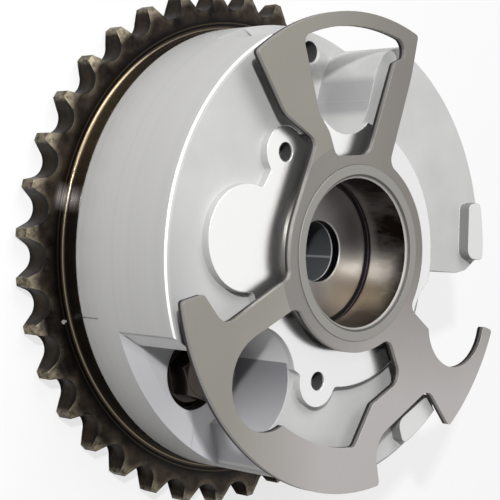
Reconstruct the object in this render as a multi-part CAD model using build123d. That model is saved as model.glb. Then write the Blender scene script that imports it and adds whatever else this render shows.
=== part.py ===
from build123d import *
import math
import os

# Camshaft timing gear with a variable phase unit on its front.
# Millimetres. +Z is the camshaft axis towards the front, z = 0 is the back
# face of the chain wheel, and the front view has +X right and +Y up.

os.makedirs("parts", exist_ok=True)

# Chain wheel
tooth_count = 36
chain_pitch = 9.525
roller_seat_radius = 3.2
seat_half_angle = 62.0
tooth_rise = 0.96
tooth_phase = 6.93
wheel_thickness = 5.2
tooth_bevel_height = 0.85
tooth_bevel_width = 2.6
hub_ring_step = 0.05
hub_ring_height = 3.95
hub_foot_radius = 0.7

# Housing
housing_radius = 47.15
housing_height = 26.45
housing_chamfer = 0.7
housing_wall = 5.15
front_wall = 3.8
chamber_corner_radius = 2.0
shoe_sides = [(72.0, 114.0), (202.0, 246.5), (308.0, 357.0)]
pad_height = 1.9
pad_radius = 27.3
boss_radius = 10.4
tool_hole_radius = 1.9
tool_hole_depth = 3.2
tool_lobe_radius = 5.2
pad_corner_radius = 1.0
tool_hole_circle = 26.85
tool_hole_angles = (133.0, -107.0)
lug_height = 2.65
lug_inset = 2.45
lug_turn = -63.0
lug_corner_radius = 1.3

# Bolts and the recesses that take their heads
bolt_circle_radius = 35.2
bolt_angles = (93.0, 224.0, 334.3)
bolt_radius = 3.0
bolt_clearance = 0.3
bolt_end_gap = 0.8
head_flat_width = 10.0
head_flange_radius = 7.1
head_flange_height = 1.7
head_height = 6.6
seat_above_hub = 7.85
spot_face_gap = 0.5
recess_above_hub = 10.25
recess_floor_rise = 1.1
recess_floor_slope = 3.6
recess_turn = 132.2
pocket_radii = (9.4, 11.3, 10.8)
pocket_shifts = ((-1.8, -1.5), (0.8, 0.4), (0.8, 0.3))
dowel_hole_radius = 2.3
dowel_hole_chamfer = 0.4
dowel_hole_depth = 7.0
dowel_hole_inset = 4.4
dowel_hole_angle = 81.45

# Rotor
rotor_radius = 19.5
shoe_tip_gap = 0.3
vane_tip_gap = 0.3
vane_corner_radius = 2.4
stop_gap_angle = 0.5
phase_travel = 30.0
vane_widths = (None, 26.5, 31.5)
nose_radius = 18.5
spigot_radius = 17.8
spigot_proud = 0.15
rear_boss_radius = 17.0
rear_boss_setback = 0.5
cam_socket_radius = 14.0
cam_socket_depth = 8.0
cam_pin_radius = 2.6
cam_pin_at = (10.5, 300.0)
cam_pin_depth = 4.0
bolt_bore_radius = 6.28
bolt_bore_chamfer = 0.25
counterbore_radius = 15.1
counterbore_depth = 11.2
counterbore_chamfer = 0.8
relief_depth = 0.35
relief_width = 1.0
oil_hole_radius = 1.4
oil_hole_offset = 5.0
oil_riser_circle = 10.6
running_gap = 0.05
side_gap = 0.05

# Seals and their leaf springs
seal_width = 3.0
seal_slot_side = 0.05
seal_height = 1.9
seal_spring_room = 1.0
seal_sweep_gap = 0.05
leaf_thickness = 0.25
leaf_width = 2.2
leaf_end_margin = 1.5

# Lock pin
lock_circle_radius = 28.2
lock_angle = 174.1
pin_radius = 4.0
pin_flange_radius = 4.9
pin_flange_height = 5.0
pin_front_gap = 0.15
pin_retract = 1.2
pin_stop_gap = 0.3
pin_tip_wall = 4.5
pin_bore_radius = 3.1
pin_travel = 4.0
pin_running_gap = 0.05
pin_cap_height = 2.0
pin_vent_radius = 1.0
bush_wall = 2.2
bush_height = 4.4
lock_spring_radius = 2.5
lock_spring_wire = 0.4
lock_spring_turns = 4

# Trigger plate
plate_radius = 48.4
plate_thickness = 1.5
plate_above_pads = 1.95
plate_ring_radius = 20.1
plate_rim_top = 2.9
plate_rim_bottom = 9.2
plate_edge_radius = 0.8
bolt_window_radius = 9.6

# Radii at which the outlines below are drawn; they follow their own disc
drawn_plate_radius = 48.4
drawn_housing_radius = 47.15

# Heights along the axis
hub_top = wheel_thickness + hub_ring_height
chamber_top = hub_top + housing_height - front_wall
housing_top = hub_top + housing_height
pad_top = housing_top + pad_height
lug_top = housing_top + lug_height
plate_bottom = pad_top + plate_above_pads
plate_top = plate_bottom + plate_thickness
spigot_top = plate_top + spigot_proud
seat_z = hub_top + seat_above_hub
recess_z = hub_top + recess_above_hub
rotor_bottom = hub_top + side_gap
rotor_top = chamber_top - side_gap

# Radii that follow from the ones above
pitch_radius = chain_pitch / (2 * math.sin(math.pi / tooth_count))
tip_radius = pitch_radius + tooth_rise
hub_ring_radius = housing_radius + hub_ring_step
chamber_radius = housing_radius - housing_wall
vane_radius = chamber_radius - vane_tip_gap
shoe_tip_radius = rotor_radius + shoe_tip_gap
plate_scale = plate_radius / drawn_plate_radius
housing_scale = housing_radius / drawn_housing_radius
pin_top = rotor_top - pin_front_gap
pin_low = rotor_bottom + pin_cap_height + pin_retract + pin_stop_gap
lock_x = lock_circle_radius * math.cos(math.radians(lock_angle))
lock_y = lock_circle_radius * math.sin(math.radians(lock_angle))


def polar(radius, angle):
    a = math.radians(angle)
    return (radius * math.cos(a), radius * math.sin(a))


# Closed outline of straight sides with a rounding radius at each corner
def rounded_loop(corners, scale=1):
    pts = [Vector(c[0], c[1]) * scale for c in corners]
    radii = [c[2] * scale if len(c) > 2 else 0 for c in corners]
    n = len(pts)
    starts, ends, mids = [], [], []
    for i in range(n):
        p, a, b = pts[i], pts[i - 1], pts[(i + 1) % n]
        u = (a - p).normalized()
        v = (b - p).normalized()
        half = math.acos(max(-1, min(1, u.dot(v)))) / 2
        if radii[i] <= 0 or half > math.pi / 2 - 0.01:
            starts.append(p)
            ends.append(p)
            mids.append(None)
            continue
        run = min(radii[i] / math.tan(half), 0.48 * (a - p).length, 0.48 * (b - p).length)
        r = run * math.tan(half)
        w = (u + v).normalized()
        starts.append(p + u * run)
        ends.append(p + v * run)
        mids.append(p + w * (r / math.sin(half) - r))
    edges = []
    for i in range(n):
        if mids[i] is not None:
            edges.append(ThreePointArc(starts[i], mids[i], ends[i]))
        nxt = (i + 1) % n
        if (starts[nxt] - ends[i]).length > 1e-6:
            edges.append(Line(ends[i], starts[nxt]))
    return make_face(edges)


# Solid of revolution about Z from (radius, height) pairs
def turned(profile):
    line = Polyline([(r, z) for r, z in profile], close=True)
    return revolve(Plane.XZ * make_face(line), Axis.Z)


def prism(sketch, z0, z1):
    return Pos(0, 0, z0) * extrude(sketch, z1 - z0)


def sector(radius, a0, a1):
    span = a1 - a0
    reach = radius / math.cos(math.radians(span / 4)) + 20
    pts = [(0, 0)] + [polar(reach, a0 + span * k / 4) for k in range(5)]
    return make_face(Polyline(pts, close=True)) & Circle(radius)


# Rounds the upright edges of a sheet part that stand nearest the given spots
def round_at(sheet, spots, scale):
    for x, y, r in spots:
        spot = Vector(x, y) * scale
        upright = [e for e in sheet.edges() if abs((e @ 1 - e @ 0).Z) > plate_thickness * 0.9]
        near = min(upright, key=lambda e: math.hypot((e @ 0).X - spot.X, (e @ 0).Y - spot.Y))
        if math.hypot((near @ 0).X - spot.X, (near @ 0).Y - spot.Y) < 2.5 * scale:
            sheet = fillet(near, r * scale)
    return sheet


# Round cutter that stands on z0, at a place in the plan
def bore(x, y, radius, z0, z1):
    return Pos(x, y, (z0 + z1) / 2) * Cylinder(radius, z1 - z0)


def one(shape):
    found = shape.solids()
    return max(found, key=lambda s: s.volume)


def save(name, shape, color):
    shape.label = name
    shape.color = Color(*color)
    export_step(shape, "parts/" + name + ".step")
    print(name, round(shape.volume, 1), len(shape.solids()))


# CHAIN WHEEL with the hub ring that closes the back of the housing
def make_sprocket():
    w, e, f = wheel_thickness, tooth_bevel_height, tooth_bevel_width
    boss_hole = rear_boss_radius + running_gap
    blank = turned([
        (boss_hole, 0), (tip_radius - f, 0), (tip_radius, e), (tip_radius, w - e),
        (tip_radius - f, w), (hub_ring_radius, w), (hub_ring_radius, hub_top),
        (boss_hole, hub_top)])
    foot = [e for e in blank.edges() if abs((e @ 0).Z - w) < 0.01
            and abs(math.hypot((e @ 0).X, (e @ 0).Y) - hub_ring_radius) < 0.01]
    blank = fillet(foot, hub_foot_radius)
    s = math.radians(seat_half_angle)
    ax = pitch_radius - roller_seat_radius * math.cos(s)
    ay = roller_seat_radius * math.sin(s)
    bx = tip_radius + 1.5
    by = ay + (bx - ax) / math.tan(s)
    gap = make_face([
        ThreePointArc((ax, -ay), (pitch_radius - roller_seat_radius, 0), (ax, ay)),
        Line((ax, ay), (bx, by)), Line((bx, by), (bx, -by)), Line((bx, -by), (ax, -ay))])
    cutter = prism(gap, -1, w + 1)
    step = 360 / tooth_count
    cuts = [Rot(0, 0, tooth_phase + step * (k + 0.5)) * cutter for k in range(tooth_count)]
    body = blank - cuts
    for a in bolt_angles:
        x, y = polar(bolt_circle_radius, a)
        body -= Pos(x, y, hub_top / 2) * Cylinder(bolt_radius, hub_top + 2)
    return one(body)


# Outline of the housing's inner space: three chambers round the rotor hub
def chamber_sketch():
    space = Circle(shoe_tip_radius)
    for k in range(3):
        a0 = shoe_sides[k][1]
        a1 = shoe_sides[(k + 1) % 3][0] + (360 if k == 2 else 0)
        room = sector(chamber_radius, a0, a1)
        corners = [v for v in room.vertices() if math.hypot(v.X, v.Y) > chamber_radius / 2]
        room = fillet(corners, chamber_corner_radius)
        space = space + room
    return space


# Recesses for the bolt heads: a round pocket about each bolt with a mouth that
# opens through the rim. The first mouth has a rounded hook on its right side,
# and the second is the same one turned on.
def recess_cutters():
    mouth = rounded_loop([
        (8.4, 31.5), (10.2, 37.8, 12), (13.0, 42.0, 4.5), (20.5, 44.0), (34, 47.6), (30, 66),
        (-34, 66), (-28, 46.2), (-10.6, 37.6, 3), (-9.6, 31.5)], housing_scale)
    open_side = rounded_loop([
        (28.8, -4.1, 1.5), (38.5, -4.8, 3), (42.0, -4.2, 3), (46.9, -1.0), (60, 8),
        (60, -50), (34, -40), (30.6, -35.8), (28.0, -33.6, 2), (27.2, -26.0, 2)], housing_scale)
    outlines = [mouth, Rot(0, 0, recess_turn) * mouth, open_side]
    # the floor rises gently from the rim, but for a low strip on the left
    rise_z = recess_z + recess_floor_rise
    shelf = turned([
        (0, recess_z - 1), (housing_radius, recess_z - 1), (housing_radius, recess_z),
        (housing_radius - recess_floor_slope, rise_z), (0, rise_z)])
    strip = prism(rounded_loop([
        (-4.0, 39.2), (-16.5, 48), (-34, 48), (-34, 30), (-9, 30)], housing_scale), recess_z - 2, rise_z + 1)
    strips = [strip, Rot(0, 0, recess_turn) * strip, None]
    cutters = []
    for k in range(3):
        shift, swing = pocket_shifts[k]
        x, y = polar(bolt_circle_radius + shift, bolt_angles[k] + swing)
        outline = outlines[k] + Pos(x, y) * Circle(pocket_radii[k])
        floor = shelf - strips[k] if strips[k] else shelf
        cutters.append(prism(outline, recess_z, lug_top + 5) - floor)
    return cutters


# HOUSING: turned outside, cast recesses, machined pads on the front
def make_housing():
    c = housing_chamfer
    nose_hole = nose_radius + running_gap
    body = turned([
        (nose_hole, hub_top), (housing_radius, hub_top), (housing_radius, housing_top - c),
        (housing_radius - c, housing_top), (nose_hole, housing_top)])
    pads = Circle(pad_radius) + Pos(lock_x, lock_y) * Circle(boss_radius)
    for a in tool_hole_angles:
        x, y = polar(tool_hole_circle, a)
        pads = pads + Pos(x, y) * Circle(tool_lobe_radius)
    inward = [v for v in pads.vertices() if math.hypot(v.X, v.Y) < pad_radius + 0.01]
    pads = fillet(inward, pad_corner_radius) - Circle(nose_hole)
    body = body + prism(pads, housing_top, pad_top)
    lug = rounded_loop([(39.4, -1.4, 2.2), (39.5, 10.3, 1.2), (46, 11.6), (46, -2.2)], housing_scale)
    lug = lug & Circle(housing_radius - lug_inset)
    outer = [v for v in lug.vertices() if math.hypot(v.X, v.Y) > housing_radius - lug_inset - 0.01]
    lug = fillet(outer, lug_corner_radius)
    body = body + prism(lug, housing_top, lug_top)
    body = body + Rot(0, 0, lug_turn) * prism(lug, housing_top, lug_top)
    body = body - prism(chamber_sketch(), hub_top - 1, chamber_top)
    body = body - recess_cutters()
    for a in bolt_angles:
        x, y = polar(bolt_circle_radius, a)
        body -= bore(x, y, head_flange_radius + spot_face_gap, seat_z, lug_top + 5)
        body -= bore(x, y, bolt_radius + bolt_clearance, hub_top - 1, seat_z + 1)
        slot = Pos(shoe_tip_radius, 0) * Rectangle(
            2 * (seal_height + seal_spring_room), seal_width + 2 * seal_slot_side)
        body -= Rot(0, 0, a) * prism(slot, hub_top - 1, chamber_top)
    for a in tool_hole_angles:
        x, y = polar(tool_hole_circle, a)
        body -= bore(x, y, tool_hole_radius, pad_top - tool_hole_depth, pad_top + 1)
    x, y = polar(housing_radius - dowel_hole_inset, dowel_hole_angle)
    body -= bore(x, y, dowel_hole_radius, recess_z - dowel_hole_depth, housing_top)
    rim_z = recess_z + recess_floor_rise
    wide = dowel_hole_radius + dowel_hole_chamfer
    body -= Pos(x, y, rim_z) * Cone(dowel_hole_radius, wide, dowel_hole_chamfer, align=(
        Align.CENTER, Align.CENTER, Align.MAX))
    body -= bore(lock_x, lock_y, pin_radius + pin_running_gap + bush_wall,
                 chamber_top - 1, chamber_top + bush_height)
    return one(body)


# Angles of the three vanes; the first is the wide one that meets the stops
def vane_spans():
    spans = []
    for k in range(3):
        room0 = shoe_sides[k][1]
        room1 = shoe_sides[(k + 1) % 3][0] + (360 if k == 2 else 0)
        end = room1 - stop_gap_angle
        if vane_widths[k] is None:
            start = room0 + phase_travel + stop_gap_angle
        else:
            start = end - vane_widths[k]
        spans.append((start, end))
    return spans


def vane_tip_angle(k):
    a0, a1 = vane_spans()[k]
    return (a0 + a1) / 2


# ROTOR with three vanes, nose, spigot and the seat for the camshaft
def make_rotor():
    outline = Circle(rotor_radius)
    for a0, a1 in vane_spans():
        vane = sector(vane_radius, a0, a1)
        corners = [v for v in vane.vertices() if math.hypot(v.X, v.Y) > vane_radius / 2]
        outline = outline + fillet(corners, vane_corner_radius)
    body = prism(outline, rotor_bottom, rotor_top)
    body = body + turned([
        (0, rear_boss_setback), (rear_boss_radius, rear_boss_setback),
        (rear_boss_radius, rotor_bottom + 1), (0, rotor_bottom + 1)])
    k = counterbore_chamfer
    body = body + turned([
        (0, rotor_top - 1), (nose_radius, rotor_top - 1), (nose_radius, plate_bottom),
        (spigot_radius, plate_bottom), (spigot_radius, spigot_top), (0, spigot_top)])
    floor = spigot_top - counterbore_depth
    relief = floor + relief_width
    socket_top = rear_boss_setback + cam_socket_depth
    b = bolt_bore_chamfer
    body = body - turned([
        (0, rear_boss_setback - 1), (cam_socket_radius, rear_boss_setback - 1),
        (cam_socket_radius, socket_top), (bolt_bore_radius, socket_top),
        (bolt_bore_radius, floor - b), (bolt_bore_radius + b, floor),
        (counterbore_radius + relief_depth, floor), (counterbore_radius + relief_depth, relief),
        (counterbore_radius, relief), (counterbore_radius, spigot_top - k),
        (counterbore_radius + k, spigot_top), (counterbore_radius + k, spigot_top + 1),
        (0, spigot_top + 1)])
    x, y = polar(*cam_pin_at)
    body -= bore(x, y, cam_pin_radius, socket_top - 1, socket_top + cam_pin_depth)
    reach = rotor_radius + oil_hole_radius
    for a0, a1 in vane_spans():
        # supply to one side of the vane from the space round the centre bolt
        z1 = (socket_top + floor) / 2 + oil_hole_radius
        drill = Pos(reach / 2, 0, z1) * Rot(0, 90, 0) * Cylinder(oil_hole_radius, reach)
        body -= Rot(0, 0, a0 - oil_hole_offset) * drill
        # supply to the other side from the end of the camshaft through a riser
        z2 = socket_top + 3 * oil_hole_radius
        riser = bore(oil_riser_circle, 0, oil_hole_radius, socket_top - 1, z2)
        branch = Pos((oil_riser_circle + reach) / 2, 0, z2) * Rot(0, 90, 0) * Cylinder(
            oil_hole_radius, reach - oil_riser_circle)
        body -= Rot(0, 0, a1 + oil_hole_offset) * riser
        body -= Rot(0, 0, a1 + oil_hole_offset) * branch
    for i in range(3):
        slot = Pos(vane_radius, 0) * Rectangle(
            2 * (seal_height + seal_spring_room), seal_width + 2 * seal_slot_side)
        body -= Rot(0, 0, vane_tip_angle(i)) * prism(slot, rotor_bottom - 1, rotor_top + 1)
    shoulder = pin_low + pin_flange_height + pin_travel + pin_stop_gap
    body -= bore(lock_x, lock_y, pin_flange_radius + pin_running_gap, rotor_bottom - 1, shoulder)
    body -= bore(lock_x, lock_y, pin_radius + pin_running_gap, rotor_bottom, rotor_top + 1)
    return one(body)


# TRIGGER PLATE, stamped from sheet: ring, three arms and an outer rim
def make_trigger_plate():
    ring = Circle(plate_ring_radius)
    disc = Circle(plate_radius)
    k = plate_scale
    right = rounded_loop([
        (20.5, 60), (15.2, 36.5, 15), (8.6, 17.6), (10, 0), (15.5, -10.9),
        (22.9, -16.3), (41.7, -16.3), (46, -17.7), (62, -22.9), (73, 10), (60, 60)], k)
    bx, by = polar(bolt_circle_radius + 0.6, bolt_angles[2] + 0.3)
    right = right + Pos(bx, by) * Circle(bolt_window_radius)
    left = rounded_loop([
        (-39.5, 51.6), (-21.9, 26.8, 7), (-12.9, 21.9, 2.2), (-18.6, 7.6), (-12, 0),
        (-15, -2.2), (-37.1, -13.4, 3.6), (-42.5, -7.3, 1.0), (-60, -11.2), (-73, 20)], k)
    low = rounded_loop([
        (10.2, -60), (5.9, -38.7, 6), (23.3, -29.0, 3), (42, -51), (30, -70)], k)
    plate = disc - right - left + ring
    plate = plate - low
    top_window = rounded_loop([
        (-21.3, 53), (-12.6, 27.2, 5), (-9.6, 24.0, 5), (-7.5, 19.2, 1.8), (2.6, 19.9, 3),
        (9.9, 39.0, 1.0), (12.9, 40.3, 1.0), (12.9, 53)], k)
    top_window = top_window & Circle(plate_radius - plate_rim_top)
    lx, ly = polar(bolt_circle_radius, bolt_angles[1])
    low_window = rounded_loop([
        (-29.2, -15.6), (-17.4, -10.15, 3.8), (-13.8, -14.2), (0, -10), (8.5, -14.0),
        (14.3, -26.4, 3), (5.2, -30.9, 1.5), (-5.7, -48), (-24, -48), (-24, -32)], k)
    low_window = low_window & Circle(plate_radius - plate_rim_bottom)
    low_window = low_window - Circle(plate_ring_radius)
    bolt_window = Pos(lx, ly) * Circle(bolt_window_radius) & Circle(plate_radius - plate_rim_top)
    plate = plate - top_window - low_window - bolt_window - Circle(spigot_radius)
    plate = one(prism(plate, plate_bottom, plate_top))
    edge = plate_edge_radius
    plate = round_at(plate, [
        (-17.9, 41.8, 1.8), (12.9, 43.6, 2.6), (10.1, -17.3, 2.4), (0, -39.2, 1.5),
        (10.0, 17.5, 2.5), (18.0, -12.6, 2.0), (17.1, 45.2, edge), (45.0, -17.5, edge),
        (41.7, -16.3, edge), (-19.5, -4.5, 2.0), (-29.8, 37.9, edge), (-47.4, -8.4, edge),
        (7.8, -47.6, edge), (31.5, -36.9, edge)], k)
    return one(plate)


# BOLTS with a flanged hexagon head
def make_bolt(angle):
    x, y = polar(bolt_circle_radius, angle)
    flange = Pos(0, 0, seat_z) * Cylinder(
        head_flange_radius, head_flange_height, align=(Align.CENTER, Align.CENTER, Align.MIN))
    flange = chamfer(flange.edges().group_by(Axis.Z)[-1], head_flange_height * 0.6)
    hexagon = prism(RegularPolygon(head_flat_width / 2, 6, major_radius=False),
                    seat_z + 0.5, seat_z + head_height)
    trim = turned([
        (0, seat_z), (head_flange_radius, seat_z),
        (head_flange_radius, seat_z + head_height - 1.6), (head_flat_width / 2 - 0.3, seat_z + head_height),
        (0, seat_z + head_height)])
    head = flange + (hexagon & trim)
    shank = bore(0, 0, bolt_radius, bolt_end_gap, seat_z + head_flange_height / 2)
    return one(Pos(x, y, 0) * Rot(0, 0, angle) * (head + shank))


# SEALS: plain strips with rounded outer faces, and bowed leaf springs
def make_seal(angle, outer_radius, inward, z0, z1):
    s = seal_height
    mid = outer_radius + (s / 2 if inward else -s / 2)
    strip = Pos(mid, 0) * Rectangle(s + 1.0, seal_width)
    if inward:
        band = Circle(outer_radius + s) - Circle(outer_radius)
    else:
        band = Circle(outer_radius) - Circle(outer_radius - s)
    return one(Rot(0, 0, angle) * prism(strip & band, z0 + 0.05, z1 - 0.05))


def make_leaf(angle, near, far, z0, z1):
    lo, hi = z0 + leaf_end_margin, z1 - leaf_end_margin
    t = leaf_thickness
    s = 1 if far > near else -1
    a, b = near + 0.02 * s, far - 0.02 * s
    mid = (lo + hi) / 2
    face_near = ThreePointArc((a, lo), (b - t * s, mid), (a, hi))
    face_far = ThreePointArc((a + t * s, hi), (b, mid), (a + t * s, lo))
    profile = make_face([face_near, Line((a, hi), (a + t * s, hi)), face_far,
                         Line((a + t * s, lo), (a, lo))])
    strip = Pos(0, leaf_width / 2, 0) * extrude(Plane.XZ * profile, leaf_width)
    return one(Rot(0, 0, angle) * strip)


# LOCK PIN parts, in the wide vane
def make_lock_pin():
    top, low = pin_top, pin_low
    r, f = pin_radius, pin_flange_radius
    pin = turned([
        (pin_bore_radius, low), (f, low), (f, low + pin_flange_height), (r, low + pin_flange_height),
        (r, top - 0.6), (r - 0.6, top), (0, top), (0, top - pin_tip_wall),
        (pin_bore_radius, top - pin_tip_wall)])
    return Pos(lock_x, lock_y, 0) * one(pin)


def make_lock_spring():
    low = rotor_bottom + pin_cap_height + lock_spring_wire
    top = pin_top - pin_tip_wall - lock_spring_wire
    rise = (top - low) / lock_spring_turns
    path = Helix(rise, top - low, lock_spring_radius)
    start = Plane(origin=path @ 0, z_dir=path % 0)
    coil = sweep(start * RegularPolygon(lock_spring_wire, 4), path=path, is_frenet=True)
    return Pos(lock_x, lock_y, low) * one(coil)


def make_lock_cap():
    return Pos(lock_x, lock_y, 0) * one(turned([
        (pin_vent_radius, rotor_bottom), (pin_flange_radius + pin_running_gap, rotor_bottom),
        (pin_flange_radius + pin_running_gap, rotor_bottom + pin_cap_height),
        (pin_vent_radius, rotor_bottom + pin_cap_height)]))


def make_lock_bush():
    inner = pin_radius + pin_running_gap
    return Pos(lock_x, lock_y, 0) * one(turned([
        (inner, chamber_top), (inner + bush_wall, chamber_top),
        (inner + bush_wall, chamber_top + bush_height), (inner, chamber_top + bush_height)]))


dark_steel = (0.10, 0.09, 0.08)
cast_alloy = (0.66, 0.66, 0.65)
sintered = (0.45, 0.43, 0.40)
stamped = (0.42, 0.40, 0.38)
black_bolt = (0.05, 0.05, 0.05)
seal_black = (0.12, 0.12, 0.12)
spring_steel = (0.55, 0.55, 0.57)

save("sprocket", make_sprocket(), dark_steel)
save("housing", make_housing(), cast_alloy)
save("rotor", make_rotor(), sintered)
save("trigger_plate", make_trigger_plate(), stamped)
for i in range(3):
    save("housing_bolt_%d" % (i + 1), make_bolt(bolt_angles[i]), black_bolt)
    tip = vane_radius - seal_height - seal_spring_room
    save("vane_seal_%d" % (i + 1), make_seal(
        vane_tip_angle(i), chamber_radius - seal_sweep_gap, False, rotor_bottom, rotor_top), seal_black)
    save("vane_seal_spring_%d" % (i + 1), make_leaf(
        vane_tip_angle(i), tip, chamber_radius - seal_sweep_gap - seal_height, rotor_bottom, rotor_top),
        spring_steel)
    root = shoe_tip_radius + seal_height + seal_spring_room
    save("shoe_seal_%d" % (i + 1), make_seal(
        bolt_angles[i], rotor_radius + seal_sweep_gap, True, hub_top, chamber_top), seal_black)
    save("shoe_seal_spring_%d" % (i + 1), make_leaf(
        bolt_angles[i], root, rotor_radius + seal_sweep_gap + seal_height, hub_top, chamber_top),
        spring_steel)
save("lock_pin", make_lock_pin(), spring_steel)
save("lock_pin_spring", make_lock_spring(), spring_steel)
save("lock_pin_cap", make_lock_cap(), spring_steel)
save("lock_bush", make_lock_bush(), spring_steel)
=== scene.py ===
import math
import bpy
from mathutils import Matrix, Vector


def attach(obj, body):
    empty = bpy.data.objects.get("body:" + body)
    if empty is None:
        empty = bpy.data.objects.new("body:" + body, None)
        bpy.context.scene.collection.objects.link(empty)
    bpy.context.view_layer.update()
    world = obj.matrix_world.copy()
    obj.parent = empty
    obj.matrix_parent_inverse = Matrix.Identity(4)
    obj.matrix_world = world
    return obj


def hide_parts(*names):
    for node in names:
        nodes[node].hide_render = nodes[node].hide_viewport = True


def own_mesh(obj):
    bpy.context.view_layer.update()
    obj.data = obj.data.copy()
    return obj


# Camshaft timing gear, in metres. +Z is the camshaft axis towards the front and z = 0 the
# wheel's back. Seen from the front, +X is right and +Y is up
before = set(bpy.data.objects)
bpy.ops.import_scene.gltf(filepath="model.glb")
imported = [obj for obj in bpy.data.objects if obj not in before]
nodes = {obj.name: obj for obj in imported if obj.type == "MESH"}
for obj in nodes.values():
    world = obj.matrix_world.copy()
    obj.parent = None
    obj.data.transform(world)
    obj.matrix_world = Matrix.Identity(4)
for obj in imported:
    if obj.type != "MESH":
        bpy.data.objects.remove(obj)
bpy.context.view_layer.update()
print("frame loaded:", len(nodes), "nodes")


# A shader value that takes part in Python expressions
class Field:
    def __init__(self, tree, socket):
        self.tree = tree
        self.socket = socket

    def join(self, operation, *terms, clamp=False):
        node = self.tree.nodes.new("ShaderNodeMath")
        node.operation = operation
        node.use_clamp = clamp
        for slot, term in zip(node.inputs, terms):
            if isinstance(term, Field):
                self.tree.links.new(term.socket, slot)
            else:
                slot.default_value = term
        return Field(self.tree, node.outputs[0])

    def __add__(self, other):
        return self.join("ADD", self, other)

    def __radd__(self, other):
        return self.join("ADD", other, self)

    def __sub__(self, other):
        return self.join("SUBTRACT", self, other)

    def __rsub__(self, other):
        return self.join("SUBTRACT", other, self)

    def __mul__(self, other):
        return self.join("MULTIPLY", self, other)

    def __rmul__(self, other):
        return self.join("MULTIPLY", other, self)

    def __pow__(self, other):
        return self.join("POWER", self, other)

    def __abs__(self):
        return self.join("ABSOLUTE", self)

    def above(self, other):
        return self.join("GREATER_THAN", self, other)

    def below(self, other):
        return self.join("LESS_THAN", self, other)

    def within(self, low, high):
        return self.above(low) * self.below(high)

    def max(self, other):
        return self.join("MAXIMUM", self, other)

    def min(self, other):
        return self.join("MINIMUM", self, other)

    def sin(self):
        return self.join("SINE", self)

    # 0 at low, 1 at high
    def ramp(self, low, high):
        return self.join("DIVIDE", self - low, high - low, clamp=True)

    # 1 between low and high, with soft ends
    def band(self, low, high, soft):
        return self.ramp(low - soft, low) * (1 - self.ramp(high, high + soft))


# A node tree being filled: every node other than maths comes from add
class Shader:
    def __init__(self, tree):
        self.tree = tree

    # A node's type, its settings, then its sockets by name or number
    def add(self, kind, settings=None, sockets=None):
        node = self.tree.nodes.new(kind)
        for key, value in (settings or {}).items():
            setattr(node, key, value)
        for key, value in (sockets or {}).items():
            self.feed(node.inputs[key], value)
        return node

    def feed(self, slot, value):
        if isinstance(value, Field):
            self.tree.links.new(value.socket, slot)
        elif isinstance(value, bpy.types.NodeSocket):
            self.tree.links.new(value, slot)
        elif slot.type == "RGBA":
            slot.default_value = (*value, 1)
        else:
            slot.default_value = value


# A material on the part's own coordinates
class Skin(Shader):
    def __init__(self, name):
        self.material = bpy.data.materials.new(name)
        self.material.use_nodes = True
        super().__init__(self.material.node_tree)
        self.shader = self.tree.nodes["Principled BSDF"]
        self.place = self.add("ShaderNodeTexCoord").outputs["Object"]
        self.x, self.y, self.z = self.split(self.place)
        self.radius = (self.x * self.x + self.y * self.y) ** 0.5
        normal = self.add("ShaderNodeNewGeometry").outputs["Normal"]
        self.facingX, self.facingY, self.facing = self.split(normal)

    def split(self, vector):
        node = self.add("ShaderNodeSeparateXYZ", None, {0: vector})
        return [Field(self.tree, socket) for socket in node.outputs]

    # Grain of a stated size; stretch makes streaks
    def noise(self, scale, detail=3.0, rough=0.5, stretch=None, vector=None):
        vector = vector or self.place
        if stretch:
            stretched = self.add("ShaderNodeMapping", None, {"Vector": vector, "Scale": stretch})
            vector = stretched.outputs[0]
        grain = {"Vector": vector, "Scale": scale, "Detail": detail, "Roughness": rough}
        return Field(self.tree, self.add("ShaderNodeTexNoise", None, grain).outputs[0])

    # Turning marks: grain that knows only radius and height
    def rings(self, scale):
        vector = self.add("ShaderNodeCombineXYZ", None, {0: self.radius, 2: self.z}).outputs[0]
        return self.noise(scale, 2.0, 0.6, vector=vector)

    def angle(self):
        return self.x.join("ARCTAN2", self.y, self.x)

    # Distance from a line along the axis, given by its angle and radius
    def near(self, degrees, radius):
        x, y = polar(degrees, radius)
        dx, dy = self.x - x, self.y - y
        return (dx * dx + dy * dy) ** 0.5

    def upright(self, limit=0.3):
        return abs(self.facing).below(limit)

    def level(self):
        return self.facing.above(0.9)

    def sloping(self):
        return self.facing.band(0.3, 0.9, 0.05)

    def blend(self, mask, first, second):
        node = self.add("ShaderNodeMix", {"data_type": "RGBA"}, {0: mask, 6: first, 7: second})
        return node.outputs[2]

    # Two tones in soft patches that follow a grain
    def mottle(self, grain, first, second):
        return self.blend(grain.ramp(0.3, 0.7), first, second)

    def mix(self, mask, first, second):
        return first + mask * (second - first)

    # Rounded look at the sharp edges, then the grain on top
    def relief(self, height, strength, distance, edge):
        rounded = self.add("ShaderNodeBevel", {"samples": 6}, {"Radius": edge}).outputs[0]
        grain = {"Height": height, "Strength": strength, "Distance": distance, "Normal": rounded}
        self.feed(self.shader.inputs["Normal"], self.add("ShaderNodeBump", None, grain).outputs[0])

    def set(self, color, roughness, metallic=0.0):
        self.feed(self.shader.inputs["Base Color"], color)
        self.feed(self.shader.inputs["Roughness"], roughness)
        self.feed(self.shader.inputs["Metallic"], metallic)
        print("finish made:", self.material.name)
        return self.material


def polar(degrees, radius):
    turn = math.radians(degrees)
    return radius * math.cos(turn), radius * math.sin(turn)


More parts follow.
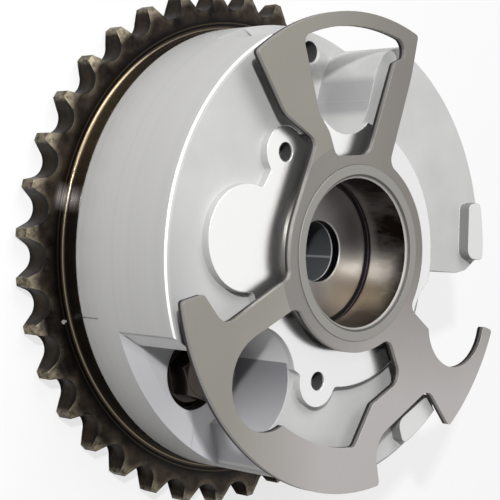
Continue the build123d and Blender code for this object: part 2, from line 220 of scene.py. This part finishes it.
# Housing: as-cast alloy, a turned outside, milled pads, bolt pockets and holes painted dark as shade.
# Bands are (low, high, soft end), ramps (none, full), noises (scale, detail, roughness),
# reliefs (strength, depth, edge radius)
castAlloy = {
    "face": (0.57, 0.57, 0.565), "faceShade": (0.50, 0.50, 0.495),
    "cloud": (70, 4),
    "grain": (1500, 3, 0.6),
    "relief": (0.3, 0.00006, 0.0003),
    # Turned outside and the line scribed on it
    "turned": (0.415, 0.412, 0.405), "turnedShade": (0.39, 0.387, 0.382),
    "outside": 0.0468,
    "turningMarks": 900, "turningDepth": 0.15,
    "scribe": (0.16, 0.155, 0.15),
    "scribeAngle": -163.5,
    "scribeHalfWidth": 0.0035,
    "scribeHeight": (0.0092, 0.0137, 0.0005),
    "scribeGrain": 900,
    # Chamfer at the front, with a painted highlight along its middle
    "edge": (0.95, 0.95, 0.94), "edgeShade": (0.40, 0.40, 0.395),
    "chamfer": (0.0348, 0.0357, 0.00001),
    "chamferFoot": 0.0463,
    "chamferHighlight": (0.03500, 0.03528, 0.00006),
    # Front: darker towards the rim on the left, smudged by the dowel hole, and painted shade in the
    # smudge's tone on the upper recess's floor by its mouth
    "rim": (0.42, 0.42, 0.42),
    "rimRadius": (0.037, 0.046), "rimFade": (0.014, -0.004),
    "smudgeAndShade": (0.36, 0.36, 0.35),
    "smudgeReach": (0.0085, 0.0035),
    "mouthShade": (0.034, 0.042), "mouthShadeTop": 0.0205, "mouthShadeShare": 0.5,
    # Milled pads, with painted shade darker to the right, and the two lugs
    "milled": (0.90, 0.90, 0.89), "milledPaintedShade": (0.80, 0.80, 0.80),
    "padTop": (0.0374, 0.0378),
    "shadeSlant": 0.6, "shadeWobble": 0.006,
    "shadeLeft": (-0.020, -0.001), "shadeRight": (0, 0.012),
    "padSide": (0.85, 0.85, 0.84),
    "padWall": (0.0357, 0.0373, 0.0002),
    "padSideRightOf": 0.020, "padSideBelow": 0.010,
    "lugTop": (0.70, 0.70, 0.69), "lugSide": (0.23, 0.23, 0.225),
    "lugFoot": 0.0357, "lugFace": 0.0380, "lugInnerRadius": 0.0388,
    # Recesses: their walls with painted shade, the lower left one's hook wall with painted light, and
    # its floor with a painted shadow by the hook wall
    "recessFloor": 0.0206,
    "innerWall": (0.0198, 0.0354, 0.0002),
    "innerRadius": 0.0463, "innerTurned": (-0.1, -0.6),
    "lowWall": (0.24, 0.24, 0.255), "lowWallPale": (0.42, 0.42, 0.435),
    "lowWallFade": (-0.024, -0.036),
    "highWall": (0.37, 0.37, 0.375),
    "highWallPlace": (0.0295, 0.0355, 0.0015), "highWallTurned": 0.6,
    "hookWall": (0.63, 0.63, 0.63),
    "hookWallHeight": (0.0206, 0.0360, 0.0003),
    "hookWallRadius": 0.0467, "hookWallTurned": -0.3,
    "lowLeft": -0.012,
    "lowFloor": (0.575, 0.575, 0.595), "lowFloorShadow": (0.37, 0.37, 0.38),
    "cornerSlant": 0.63, "cornerFade": (-0.0455, -0.0425),
    # Bolt pockets, tool holes and dowel hole, painted dark inside as shade: angle and radius of each
    "pocket": (0.055, 0.043, 0.035), "hole": (0.07, 0.07, 0.07),
    "bolts": ((93.0, 0.0352), (224.0, 0.0352), (334.3, 0.0352)),
    "pocketRadius": 0.00765, "pocketTop": 0.02035,
    "toolHoles": ((133.0, 0.02685), (-107.0, 0.02685)),
    "toolHoleRadius": 0.00193, "toolHoleTop": 0.0371,
    "dowel": (81.45, 0.04275), "dowelRadius": 0.0023,
    # Gloss and metal
    "rough": (0.46, 0.56), "milledGloss": 0.30, "oilGloss": 0.2,
    "metal": 0.12, "milledMetal": 0.95,
}


def paintOutside(skin, color, side, streak):
    look = castAlloy
    turned = skin.mottle(streak, look["turned"], look["turnedShade"])
    line = abs(skin.angle() - math.radians(look["scribeAngle"])).below(look["scribeHalfWidth"])
    line = line * skin.z.band(*look["scribeHeight"])
    line = line * skin.noise(look["scribeGrain"]).ramp(0.3, 0.55)
    color = skin.blend(side, color, skin.blend(line, turned, look["scribe"]))
    chamfer = skin.z.band(*look["chamfer"]) * skin.sloping() * skin.radius.above(look["chamferFoot"])
    # Painted highlight along the middle of the front chamfer
    highlight = skin.z.band(*look["chamferHighlight"])
    return skin.blend(chamfer, color, skin.blend(highlight, look["edgeShade"], look["edge"]))


def paintFront(skin, color, side, cloud, milled):
    look = castAlloy
    rim = skin.level() * skin.radius.ramp(*look["rimRadius"])
    rim = rim * skin.y.ramp(*look["rimFade"]) * skin.x.below(0)
    color = skin.blend(rim * (1 - side), color, look["rim"])
    smudgeAndShade = skin.near(*look["dowel"]).ramp(*look["smudgeReach"]) * cloud.ramp(0.35, 0.6)
    # Painted shade on the upper recess's floor near its outer mouth, in the smudge's tone
    high = skin.z.below(look["mouthShadeTop"]) * skin.y.ramp(*look["mouthShade"])
    color = skin.blend(smudgeAndShade.max(high * look["mouthShadeShare"]), color, look["smudgeAndShade"])
    # Painted shade across the milled pads, darker to the right
    slant = skin.x - look["shadeSlant"] * skin.y + look["shadeWobble"] * cloud
    padShade = slant.ramp(*look["shadeLeft"]).max(skin.x.ramp(*look["shadeRight"]))
    color = skin.blend(milled, color, skin.blend(padShade, look["milled"], look["milledPaintedShade"]))
    return skin.blend(skin.z.above(look["lugFace"]), color, look["lugTop"])


def paintWalls(skin, color):
    look = castAlloy
    inner = skin.upright() * skin.radius.below(look["innerRadius"]) * skin.z.band(*look["innerWall"])
    inner = inner * skin.facingX.ramp(*look["innerTurned"])
    # Painted shade on the recess walls in the lower half, with painted light making them paler further
    # down
    low = skin.blend(skin.y.ramp(*look["lowWallFade"]), look["lowWall"], look["lowWallPale"])
    color = skin.blend(inner * skin.y.below(0), color, low)
    lowLeft = skin.y.below(look["lowLeft"]) * skin.x.below(look["lowLeft"])
    floor = lowLeft * skin.z.below(look["recessFloor"]) * skin.level()
    # Painted shadow of the hook wall on the lower left recess's floor
    corner = (skin.y + look["cornerSlant"] * skin.x).ramp(*look["cornerFade"])
    color = skin.blend(floor, color, skin.blend(corner, look["lowFloor"], look["lowFloorShadow"]))
    # Painted light on the lower left recess's downward-facing hook wall
    hook = skin.facingY.below(look["hookWallTurned"]) * skin.radius.below(look["hookWallRadius"])
    hook = lowLeft * hook * skin.z.band(*look["hookWallHeight"])
    color = skin.blend(hook, color, look["hookWall"])
    # Painted shade: a darker band on the upper recess's inner wall
    high = skin.y.band(*look["highWallPlace"]) * skin.facingY.below(look["highWallTurned"])
    color = skin.blend(inner * high, color, look["highWall"])
    padSide = skin.z.band(*look["padWall"]) * skin.upright()
    padSide = padSide * skin.x.above(look["padSideRightOf"]) * skin.y.below(look["padSideBelow"])
    color = skin.blend(padSide, color, look["padSide"])
    lugSide = skin.z.above(look["lugFoot"]) * skin.upright() * skin.radius.above(look["lugInnerRadius"])
    return skin.blend(lugSide, color, look["lugSide"])


def castAlloyFinish():
    skin = Skin("castAlloy")
    look = castAlloy
    cloud = skin.noise(*look["cloud"])
    streak = skin.rings(look["turningMarks"])
    side = skin.radius.above(look["outside"]) * skin.upright()
    milled = skin.z.within(*look["padTop"]) * skin.level()
    color = skin.mottle(cloud, look["face"], look["faceShade"])
    color = paintOutside(skin, color, side, streak)
    color = paintFront(skin, color, side, cloud, milled)
    color = paintWalls(skin, color)
    pocket = 0
    for bolt in look["bolts"]:
        pocket = skin.near(*bolt).below(look["pocketRadius"]).max(pocket)
    pocket = pocket * skin.z.below(look["pocketTop"])
    toolHole = 0
    for place in look["toolHoles"]:
        toolHole = skin.near(*place).below(look["toolHoleRadius"]).max(toolHole)
    toolHole = toolHole * skin.z.below(look["toolHoleTop"])
    dowel = skin.near(*look["dowel"]).below(look["dowelRadius"]) * skin.z.below(look["pocketTop"])
    # Painted shade inside the dowel hole, the tool holes and the bolt pockets
    color = skin.blend(dowel.max(toolHole), color, look["hole"])
    color = skin.blend(pocket, color, look["pocket"])
    rough = skin.mix(cloud, *look["rough"]) - look["milledGloss"] * milled - look["oilGloss"] * pocket
    grain = skin.noise(*look["grain"]) * (1 - side) * (1 - milled)
    skin.relief(grain + streak * side * look["turningDepth"], *look["relief"])
    return skin.set(color, rough, skin.mix(milled, look["metal"], look["milledMetal"]))


# Chain wheel: oiled dark steel, worn beige at the tips with a painted highlight, and a painted
# highlight at the hub's foot
wheelSteel = {
    "dark": (0.003, 0.002, 0.002), "brown": (0.052, 0.038, 0.028),
    "wearAndHighlight": (0.27, 0.235, 0.165), "bronze": (0.34, 0.265, 0.17),
    "cloud": (260, 4, 0.6), "fine": (900, 3, 0.6),
    "turningMarks": 1600, "turningDepth": 0.3,
    "relief": (0.4, 0.00008, 0.0003),
    # Teeth: 36 round gaps on the pitch circle, the first at firstGap degrees
    "teeth": 36, "firstGap": 11.93,
    "pitchRadius": 0.054645,
    "toothFoot": (0.0489, 0.0505),
    # Gap edges and tips: beige wear with a painted highlight
    "gapEdge": (0.0032, 0.0036, 0.0008), "gapEdgeShare": 0.22,
    "toothWall": (0.004, 0.003, 0.002), "toothWallWorn": (0.026, 0.016, 0.008),
    "wallScuff": (0.0014, 0.0036, 0.0008),
    "bevelFoot": 0.0525, "bevelWearAndHighlight": (0.0532, 0.0548),
    "tipWearAndHighlight": (0.0547, 0.0554), "tipWearAndHighlightShare": 0.8,
    "perTooth": (90, 1),
    # Hub ring's wall and the turned line at its foot, with a painted highlight brightest at the upper
    # left
    "hubWall": (0.010, 0.008, 0.007), "hubWallHighlight": (0.15, 0.115, 0.065),
    "hubWallPlace": (0.0460, 0.04725, 0.00005),
    "hubWallLow": (0.0086, 0.0056),
    "wheelFace": 0.0050,
    "foot": (0.035, 0.027, 0.020),
    "footPlace": (0.04722, 0.04790, 0.0001),
    "brightLine": (0.04742, 0.04752, 0.00008), "brightLineShare": 0.45,
    "sweepPlace": (0.0473, 0.0477, 0.00015), "sweepShare": 0.85,
    "sweepRise": (2.15, 2.50), "sweepFall": (2.92, 2.70),
    # Painted sheen on the left, fine groove and pale dot
    "paintedSheen": (0.40, 0.38, 0.37),
    "sheenAngle": (2.925, 2.940, 0.055), "sheenPlace": (0.0462, 0.0495, 0.0012),
    "sheenMarks": 2500,
    "groovePlace": (0.0485, 0.0487, 0.0001), "grooveShare": 0.12,
    "dot": (0.85, 0.84, 0.80),
    "dotPlace": (-162.7, 0.0489), "dotRadius": 0.00045,
    "dotWobble": 0.0014, "dotGrain": 2200,
    # Ground back face
    "back": (0.10, 0.085, 0.068), "backShade": (0.05, 0.041, 0.032),
    "backRadius": (0.0530, 0.0520), "backTop": 0.0010,
    "backMarks": 700, "backShare": 0.9,
    # Gloss and metal
    "rough": (0.34, 0.52), "footGloss": 0.12, "hubGloss": 0.06,
    "metal": 0.85,
}


# Distance from the centre of the nearest round gap between two teeth
def gapDistance(skin):
    look = wheelSteel
    step = 2 * math.pi / look["teeth"]
    # Whole turns are added so that the remainder is taken of a positive angle
    lead = skin.angle() + (8 * math.pi + step / 2 - math.radians(look["firstGap"]))
    lead = lead.join("MODULO", lead, step) - step / 2
    outward = skin.radius * (lead + math.pi / 2).sin() - look["pitchRadius"]
    across = skin.radius * lead.sin()
    return (outward * outward + across * across) ** 0.5


def paintTeeth(skin, color, cloud, fine):
    look = wheelSteel
    # Gap edges and tooth tips: beige wear with a painted highlight
    lit = skin.level() * gapDistance(skin).band(*look["gapEdge"]) * cloud.ramp(0.35, 0.65)
    color = skin.blend(lit * look["gapEdgeShare"], color, look["wearAndHighlight"])
    wall = skin.upright(0.25) * skin.radius.above(max(look["toothFoot"]))
    scuff = skin.z.band(*look["wallScuff"]) * (cloud * 0.5 + fine * 0.5).ramp(0.35, 0.6)
    color = skin.blend(wall, color, skin.blend(scuff, look["toothWall"], look["toothWallWorn"]))
    bevel = skin.facing.band(0.3, 0.98, 0.01) * skin.radius.above(look["bevelFoot"])
    tip = wall * skin.radius.ramp(*look["tipWearAndHighlight"]) * look["tipWearAndHighlightShare"]
    tip = tip.max(bevel * skin.radius.ramp(*look["bevelWearAndHighlight"]))
    perTooth = skin.noise(*look["perTooth"]).ramp(0.35, 0.6) * 0.5 + 0.5
    return skin.blend(tip * fine.ramp(0.3, 0.6) * perTooth, color, look["wearAndHighlight"])


def paintHub(skin, color, foot):
    look = wheelSteel
    wall = skin.upright() * skin.radius.band(*look["hubWallPlace"])
    # Painted highlight sweeping over the hub's wall and foot at the upper left
    sweep = skin.angle().ramp(*look["sweepRise"]) * skin.angle().ramp(*look["sweepFall"])
    sweep = sweep * look["sweepShare"]
    color = skin.blend(wall, color, look["hubWall"])
    color = skin.blend(wall * sweep * skin.z.ramp(*look["hubWallLow"]), color, look["hubWallHighlight"])
    color = skin.blend(foot, color, look["foot"])
    # Painted highlight: a bright line all round the foot
    line = skin.radius.band(*look["brightLine"]) * look["brightLineShare"]
    shine = (line + skin.radius.band(*look["sweepPlace"]) * sweep).min(1.0)
    return skin.blend(shine * skin.z.above(look["wheelFace"]), color, look["bronze"])


def paintWheelMarks(skin, color):
    look = wheelSteel
    # Painted sheen: a pale radial streak across the face and hub on the left
    paintedSheen = skin.angle().band(*look["sheenAngle"]) * skin.radius.band(*look["sheenPlace"])
    color = skin.blend(paintedSheen * skin.rings(look["sheenMarks"]).ramp(0.35, 0.65), color, look["paintedSheen"])
    groove = skin.radius.band(*look["groovePlace"]) * skin.level() * look["grooveShare"]
    color = skin.blend(groove, color, look["bronze"])
    uneven = (skin.noise(look["dotGrain"]) - 0.5) * look["dotWobble"]
    dot = (skin.near(*look["dotPlace"]) + uneven).below(look["dotRadius"])
    color = skin.blend(dot * skin.level(), color, look["dot"])
    ground = skin.facing.below(-0.9) * skin.z.below(look["backTop"])
    ground = ground * skin.radius.ramp(*look["backRadius"]) * look["backShare"]
    rings = skin.blend(skin.rings(look["backMarks"]).ramp(0.35, 0.65), look["back"], look["backShade"])
    return skin.blend(ground, color, rings)


def wheelSteelFinish():
    skin = Skin("wheelSteel")
    look = wheelSteel
    cloud = skin.noise(*look["cloud"])
    fine = skin.noise(*look["fine"])
    toTeeth = skin.radius.ramp(*look["toothFoot"])
    foot = skin.radius.band(*look["footPlace"]) * skin.z.above(look["wheelFace"])
    color = skin.blend(toTeeth * cloud.ramp(0.3, 0.7), look["dark"], look["brown"])
    color = paintTeeth(skin, color, cloud, fine)
    color = paintHub(skin, color, foot)
    color = paintWheelMarks(skin, color)
    rough = skin.mix(cloud, *look["rough"]) - look["footGloss"] * foot
    rough = rough - look["hubGloss"] * (1 - toTeeth)
    marks = skin.rings(look["turningMarks"]) * look["turningDepth"] * (1 - toTeeth)
    skin.relief(cloud * toTeeth + marks, *look["relief"])
    return skin.set(color, rough, look["metal"])


# Rotor: machined steel, stained and with painted shade in the counterbore. Angles are in radians
rotorSteel = {
    "face": (0.29, 0.284, 0.264),
    "cloud": (160, 4, 0.6),
    "smear": (150, 4, 0.65, (1.0, 1.0, 0.35)),
    "turningMarks": 3000,
    "relief": (0.2, 0.00006, 0.0003),
    # Counterbore's wall: a tan film at the lower right, dark stains with painted shade above and below
    # it and near the rim
    "wall": (0.40, 0.38, 0.36), "tan": (0.27, 0.225, 0.170), "stainAndShade": (0.022, 0.014, 0.009),
    "boreRadius": 0.0157, "boreHeight": (0.0299, 0.0404, 0.0001),
    "tanAngle": (-1.3, -0.55, 0.3),
    "stainHigh": (0.12, 1.5, 0.25), "stainLow": (-1.9, -1.0, 0.3), "stainLowShare": 0.8,
    "stainFoot": (0.0303, 0.0335),
    "stainRim": (0.0365, 0.0398), "stainRimShare": 0.75,
    # Counterbore's floor with painted shade where its reflections are dark, and the groove round it
    "floor": (0.40, 0.385, 0.365), "floorShade": (0.20, 0.188, 0.188),
    "floorHeight": (0.0297, 0.03, 0.00005),
    "floorTan": (-2.2, -0.7, 0.5), "floorTanShare": 0.4,
    "shadeHigh": (0.25, 2.2, 0.5), "shadeLow": (-2.4, -1.6, 0.4), "shadeLowShare": 0.7,
    "groove": (0.07, 0.062, 0.064),
    "grooveRadius": (0.0143, 0.0156, 0.0001), "grooveHeight": (0.0295, 0.0307, 0.0002),
    # Chamfer at the mouth, its outer half painted dark as shade against its highlight
    "lip": (0.42, 0.41, 0.39), "lipOuter": (0.13, 0.127, 0.12),
    "lipRadius": (0.0151, 0.0160, 0.00002), "lipFade": (0.01535, 0.01555), "lipFoot": 0.0400,
    # Bolt bore, from its mouth down: a black band, a painted highlight ring, painted light in the deep
    # part and a painted glint
    "black": (0.004, 0.004, 0.005), "bright": (0.95, 0.95, 0.95), "deep": (0.13, 0.135, 0.145),
    "holeRadius": 0.0065,
    "holeTop": 0.0297, "brightTop": 0.0279, "deepTop": 0.02755,
    "glintTop": 0.0275, "glintPlace": (-0.0014, -0.0012, 0.0002), "glintShare": 0.4,
    # Gloss and metal
    "rough": (0.32, 0.46), "lipRough": 0.25, "faceRough": 0.1, "faceHeight": 0.0404,
    "metal": 1.0, "holeMetal": 0.5,
}


def boreWallTone(skin, turn, smear):
    look = rotorSteel
    tan = (turn.band(*look["tanAngle"]) * smear.ramp(0.38, 0.52)).max(smear.ramp(0.5, 0.62) * 0.5)
    tone = skin.blend(tan, look["wall"], look["tan"])
    # Dark stains and painted shade where the wall's reflections are dark
    stainAndShade = turn.band(*look["stainHigh"]) + turn.band(*look["stainLow"]) * look["stainLowShare"]
    stainAndShade = stainAndShade.min(1.0)
    stainAndShade = stainAndShade * (smear.ramp(0.30, 0.5) * 0.5 + 0.5) * skin.z.ramp(*look["stainFoot"])
    rim = skin.z.ramp(*look["stainRim"]) * smear.ramp(0.25, 0.5) * look["stainRimShare"]
    return skin.blend(stainAndShade.max(rim), tone, look["stainAndShade"])


def boreFloorTone(skin, turn):
    look = rotorSteel
    tone = skin.blend(turn.band(*look["floorTan"]) * look["floorTanShare"], look["floor"], look["tan"])
    # Painted shade on the floor's upper half and lower left
    shade = turn.band(*look["shadeHigh"]).max(turn.band(*look["shadeLow"]) * look["shadeLowShare"])
    return skin.blend(shade, tone, look["floorShade"])


def paintBoltBore(skin, color, inHole):
    look = rotorSteel
    # A black band below the mouth, a painted highlight ring at the step, painted light in the deep
    # part, then a painted glint
    color = skin.blend(inHole * skin.z.below(look["holeTop"]), color, look["black"])
    color = skin.blend(inHole * skin.z.below(look["brightTop"]), color, look["bright"])
    color = skin.blend(inHole * skin.z.below(look["deepTop"]), color, look["deep"])
    glint = inHole * skin.z.below(look["glintTop"]) * skin.y.band(*look["glintPlace"]) * skin.x.above(0)
    return skin.blend(glint * look["glintShare"], color, look["bright"])


def rotorSteelFinish():
    skin = Skin("rotorSteel")
    look = rotorSteel
    turn = skin.angle()
    cloud = skin.noise(*look["cloud"])
    smear = skin.noise(*look["smear"])
    inBore = skin.radius.below(look["boreRadius"]) * skin.z.band(*look["boreHeight"])
    onFloor = skin.z.band(*look["floorHeight"]) * skin.facing.above(0.8)
    tone = skin.blend(onFloor, boreWallTone(skin, turn, smear), boreFloorTone(skin, turn))
    color = skin.blend(inBore.max(onFloor), look["face"], tone)
    groove = skin.radius.band(*look["grooveRadius"]) * skin.z.band(*look["grooveHeight"])
    color = skin.blend(groove, color, look["groove"])
    lip = skin.radius.band(*look["lipRadius"]) * skin.sloping() * skin.z.above(look["lipFoot"])
    # Painted shade on the chamfer's outer half
    lipTone = skin.blend(skin.radius.ramp(*look["lipFade"]), look["lip"], look["lipOuter"])
    color = skin.blend(lip, color, lipTone)
    inHole = skin.radius.below(look["holeRadius"])
    color = paintBoltBore(skin, color, inHole)
    rough = skin.mix(cloud, *look["rough"]) + look["lipRough"] * lip
    rough = rough + look["faceRough"] * skin.z.above(look["faceHeight"])
    skin.relief(skin.rings(look["turningMarks"]), *look["relief"])
    return skin.set(color, rough, skin.mix(inHole, look["metal"], look["holeMetal"]))


# Trigger plate: stamped sheet, satin face with painted light, sheared edges with painted shade, dark
# back
plateSteel = {
    "face": (0.220, 0.209, 0.193), "left": (0.275, 0.264, 0.235), "pale": (0.43, 0.412, 0.405),
    "cloud": (45, 3),
    "leftFade": (0.012, -0.012),
    "paleDown": (0.000, -0.034), "paleAcross": (-0.036, -0.008),
    "paleReach": 1.1, "paleWobble": 0.3,
    "ring": (0.225, 0.217, 0.205),
    "ringRadius": 0.0225, "ringFade": (0.006, -0.014), "ringShare": 0.8,
    # Cut edges: dark below as shear zone and painted shade, smooth above
    "edge": (0.30, 0.29, 0.28), "shearedAndShaded": (0.05, 0.047, 0.045), "back": (0.03, 0.028, 0.026),
    "shearLine": (0.0400, 0.0403),
    "scratch": (500, 4, 0.65, (1.0, 0.12, 1.0)), "scratchDepth": 0.6,
    "grain": (1800, 3, 0.6),
    "relief": (0.22, 0.00005, 0.00025),
    "rough": (0.52, 0.66),
    "metal": 1.0,
}


def plateSteelFinish():
    skin = Skin("plateSteel")
    look = plateSteel
    cloud = skin.noise(*look["cloud"])
    scratch = skin.noise(*look["scratch"])
    # Painted light on the face: lighter to the left, paler at the lower left, and less of it round the
    # bore on the left
    pale = look["paleReach"] * skin.y.ramp(*look["paleDown"]) * skin.x.ramp(*look["paleAcross"])
    pale = (pale + look["paleWobble"] * (cloud - 0.5)).ramp(0, 1)
    color = skin.blend(skin.x.ramp(*look["leftFade"]), look["face"], look["left"])
    color = skin.blend(pale, color, look["pale"])
    ring = skin.radius.below(look["ringRadius"]) * skin.x.ramp(*look["ringFade"])
    color = skin.blend(ring * look["ringShare"], color, look["ring"])
    # Cut edges dark towards the back: shear zone and painted shade
    walls = skin.blend(skin.z.ramp(*look["shearLine"]), look["shearedAndShaded"], look["edge"])
    color = skin.blend(skin.upright(0.5), color, walls)
    color = skin.blend(skin.facing.below(-0.5), color, look["back"])
    skin.relief(skin.noise(*look["grain"]) + scratch * look["scratchDepth"], *look["relief"])
    return skin.set(color, skin.mix(scratch, *look["rough"]), look["metal"])


# Other pieces: one tone with cloudy wear and a fine grain
plain = {
    "boltBlack": {"color": (0.075, 0.061, 0.054), "metal": 0.9, "rough": 0.26},
    "springWire": {"color": (0.42, 0.42, 0.43), "metal": 1.0, "rough": 0.32},
    "groundSteel": {"color": (0.58, 0.58, 0.58), "metal": 1.0, "rough": 0.2},
    "sealBlack": {"color": (0.05, 0.05, 0.05), "metal": 0.0, "rough": 0.5},
    "leafSteel": {"color": (0.48, 0.48, 0.5), "metal": 1.0, "rough": 0.28},
    # The same on all of them
    "shade": 0.7, "spread": 0.06,
    "cloud": (220, 4), "grain": 1600,
    "relief": (0.15, 0.00005, 0.0003),
}


def plainFinish(name):
    skin = Skin(name)
    look = plain[name]
    shade = tuple(plain["shade"] * part for part in look["color"])
    cloud = skin.noise(*plain["cloud"])
    color = skin.mottle(cloud, look["color"], shade)
    rough = skin.mix(cloud, look["rough"] - plain["spread"], look["rough"] + plain["spread"])
    skin.relief(skin.noise(plain["grain"]), *plain["relief"])
    return skin.set(color, rough, look["metal"])


# Node names begin with these; the first that fits is taken
leaf = plainFinish("leafSteel")
finishes = {
    "housing_bolt": plainFinish("boltBlack"),
    "housing": castAlloyFinish(),
    "sprocket": wheelSteelFinish(),
    "rotor": rotorSteelFinish(),
    "trigger_plate": plateSteelFinish(),
    "lock_pin_spring": plainFinish("springWire"),
    "lock": plainFinish("groundSteel"),
    "vane_seal_spring": leaf,
    "shoe_seal_spring": leaf,
    "": plainFinish("sealBlack"),
}

sharpEdge = math.radians(28)
for name, piece in nodes.items():
    finish = next(finishes[key] for key in finishes if name.startswith(key))
    piece.data.materials.clear()
    piece.data.materials.append(finish)
    piece.data.shade_smooth()
    piece.data.set_sharp_from_angle(angle=sharpEdge)
print("finishes assigned")


def addLockSpring():
    coil = nodes["lock_pin_spring"]
    spring = bpy.data.objects.new("lockPinCoil", coil.data.copy())
    spring.matrix_world = coil.matrix_world.copy()
    bpy.context.scene.collection.objects.link(spring)
    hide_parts("lock_pin_spring")
    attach(spring, "rotor_side")
    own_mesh(spring)


addLockSpring()


# Camera: the photograph's own place, found from the teeth and the plate's rim
camera = {
    "place": (-0.22971, 0.00812, 0.24194),
    "forward": (0.7026, -0.0204, -0.7113),
    "right": (0.7116, 0.0201, 0.7023),
    "lens": 108.86,
    "sensor": 36,
    "shiftX": 0.0011,
    "shiftY": -0.0172,
    "clipStart": 0.01,
}


def addCamera():
    data = bpy.data.cameras.new("camera")
    data.lens = camera["lens"]
    data.sensor_width = camera["sensor"]
    data.shift_x = camera["shiftX"]
    data.shift_y = camera["shiftY"]
    data.clip_start = camera["clipStart"]
    eye = bpy.data.objects.new("camera", data)
    forward = Vector(camera["forward"]).normalized()
    right = Vector(camera["right"]).normalized()
    up = right.cross(forward)
    turn = Matrix((right, up, -forward)).transposed().to_4x4()
    eye.matrix_world = Matrix.Translation(camera["place"]) @ turn
    bpy.context.scene.collection.objects.link(eye)
    bpy.context.scene.camera = eye


# Studio: a small key lamp at the camera's upper left, a broad fill from above, a pale floor.
# The key is two lamps in one place: reflections show only the first, so satin steel keeps its tone
studio = {
    "aim": (0, 0, 0.02),
    "lamps": {
        "key": {"place": (-0.400, 0.213, 0.460), "size": 0.035, "power": 1.8, "glint": True},
        "keyMatt": {"place": (-0.400, 0.213, 0.460), "size": 0.035, "power": 1.5, "glint": False},
        "fill": {"place": (0.00, 0.50, 0.60), "size": 0.5, "power": 3.0, "glint": True},
    },
    "floorHalf": 3.0,
    "floorHeight": -0.0001,
    "floorColor": (0.86, 0.86, 0.86),
    "floorRough": 0.9,
    "floorGlow": 0.75,
    "white": (1, 1, 1),
    "ambient": 0.12,
}


def addLamp(name, spec):
    data = bpy.data.lights.new(name, "AREA")
    data.shape = "DISK"
    data.size = spec["size"]
    data.energy = spec["power"]
    lamp = bpy.data.objects.new(name, data)
    lamp.location = spec["place"]
    aim = Vector(studio["aim"]) - Vector(spec["place"])
    lamp.rotation_euler = aim.to_track_quat("-Z", "Y").to_euler()
    lamp.visible_glossy = spec["glint"]
    bpy.context.scene.collection.objects.link(lamp)


# The camera sees the floor nearly white, and it still takes the shadow
def addFloor():
    half = studio["floorHalf"]
    height = studio["floorHeight"]
    mesh = bpy.data.meshes.new("floor")
    corners = [(x * half, y * half, height) for x, y in ((-1, -1), (1, -1), (1, 1), (-1, 1))]
    mesh.from_pydata(corners, [], [(0, 1, 2, 3)])
    floor = bpy.data.objects.new("floor", mesh)
    bpy.context.scene.collection.objects.link(floor)
    skin = Skin("floorWhite")
    skin.set(studio["floorColor"], studio["floorRough"])
    glow = skin.add("ShaderNodeEmission", None, {"Color": studio["white"], "Strength": 1.0})
    seen = Field(skin.tree, skin.add("ShaderNodeLightPath").outputs["Is Camera Ray"])
    share = seen * studio["floorGlow"]
    shaders = {0: share, 1: skin.shader.outputs[0], 2: glow.outputs[0]}
    shown = skin.add("ShaderNodeMixShader", None, shaders)
    skin.feed(skin.tree.nodes["Material Output"].inputs["Surface"], shown.outputs[0])
    mesh.materials.append(skin.material)


# White to the camera and in reflections, dim as a light
def addWorld():
    world = bpy.data.worlds.new("studio")
    world.use_nodes = True
    bpy.context.scene.world = world
    sky = Shader(world.node_tree)
    paths = sky.add("ShaderNodeLightPath").outputs
    seen = Field(sky.tree, paths["Is Camera Ray"])
    seen = seen.max(Field(sky.tree, paths["Is Glossy Ray"]))
    seen = seen.max(Field(sky.tree, paths["Is Transmission Ray"]))
    backdrop = sky.tree.nodes["Background"].inputs
    sky.feed(backdrop["Color"], studio["white"])
    sky.feed(backdrop["Strength"], studio["ambient"] + seen * (1 - studio["ambient"]))


addCamera()
for name, spec in studio["lamps"].items():
    addLamp(name, spec)
addFloor()
addWorld()
bpy.context.scene.view_settings.view_transform = "Standard"
print("camera and studio ready")
